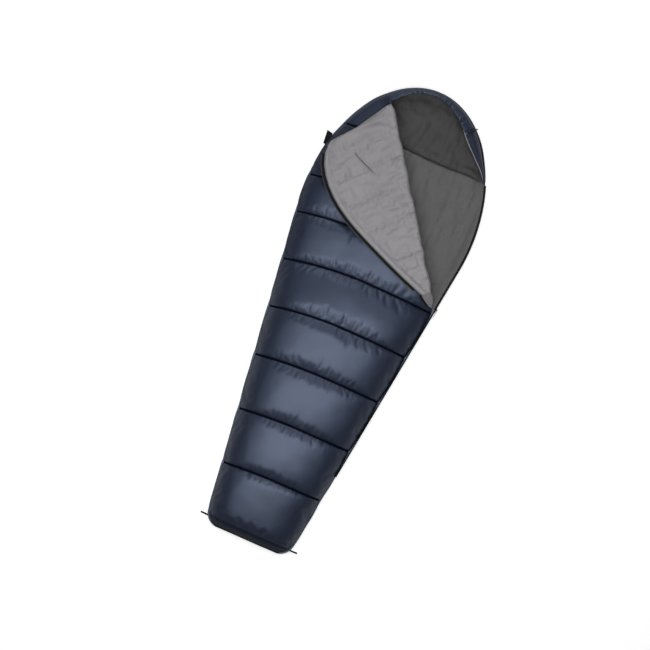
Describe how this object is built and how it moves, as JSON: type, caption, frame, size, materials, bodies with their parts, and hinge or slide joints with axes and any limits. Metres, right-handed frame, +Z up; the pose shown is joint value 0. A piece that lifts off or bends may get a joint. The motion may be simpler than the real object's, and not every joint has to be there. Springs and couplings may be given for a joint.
{
  "type": "mummy sleeping bag",
  "caption": "Tapered quilted sleeping bag with a hood, laid flat, its side zip part open and the top folded back to show the lining; the flap, slider, puller and cord lock move.",
  "frame": {"origin": "on the surface the bag lies on, at the middle of its length and width", "axes": "+X towards the zip side, +Y towards the head, +Z up"},
  "size_m": [0.8066, 2.2, 0.168],
  "materials": {
    "shell_fabric": "satin",
    "lining_light": "satin",
    "lining_shade": "matt",
    "wadding": "matt",
    "zip_tape": "matt",
    "zip_coil": "satin",
    "zip_metal": "satin",
    "lock_plastic": "matt",
    "cord": "matt",
    "webbing": "matt",
    "label": "matt"
  },
  "bodies": {
    "bag": {"base_filling": "wadding", "base_lining": "lining_shade", "base_shell": "shell_fabric", "cord_lock_body": "lock_plastic", "cord_tail": "cord", "fold_web": "shell_fabric", "foot_filling": "wadding", "foot_lining": "lining_shade", "foot_panel": "shell_fabric", "foot_shell": "shell_fabric", "hang_loop_left": "webbing", "hang_loop_right": "webbing", "hood_cord": "cord", "hood_filling": "wadding", "hood_floor_lining": "lining_shade", "hood_lining": "lining_shade", "hood_shell": "shell_fabric", "hood_tunnel": "shell_fabric", "side_label": "label", "top_filling_1": "wadding", "top_filling_2": "wadding", "top_filling_3": "wadding", "top_filling_4": "wadding", "top_filling_5": "wadding", "top_filling_6": "wadding", "top_filling_7": "wadding", "top_filling_8": "wadding", "top_lining": "lining_shade", "top_shell": "shell_fabric", "zip_bottom_stop": "zip_metal", "zip_coil_lower": "zip_coil", "zip_coil_upper": "zip_coil", "zip_draft_tube": "lining_shade", "zip_tape_lower": "zip_tape", "zip_tape_upper": "zip_tape"},
    "flap": {"flap_facing": "lining_light", "flap_filling": "wadding", "flap_lining": "lining_light", "flap_pocket": "lining_light", "flap_shell": "shell_fabric", "flap_zip_coil": "zip_coil", "flap_zip_tape": "zip_tape"},
    "zip_slider": {"zip_slider": "zip_metal"},
    "slider_pull": {"slider_pull": "zip_metal"},
    "lock_button": {"cord_lock_button": "lock_plastic"}
  },
  "joints": [
    {"name": "flap_fold", "type": "hinge", "parent": "bag", "child": "flap", "pos_m": [0.3081, 0.255, 0.132], "axis": [-0.5742, 0.8187, 0], "range_deg": [0, 182]},
    {"name": "zip_slide", "type": "slide", "parent": "bag", "child": "zip_slider", "axis": [-0.1274, -0.9918, 0], "range_m": [0, 0.858]},
    {"name": "pull_swing", "type": "hinge", "parent": "zip_slider", "child": "slider_pull", "pos_m": [0.37682, 0.1888, 0.04], "axis": [0, 0, 1], "range_deg": [0, 180]},
    {"name": "button_press", "type": "slide", "parent": "bag", "child": "lock_button", "axis": [-0.4386, -0.4235, -0.7926], "range_m": [0, 0.002]}
  ]
}
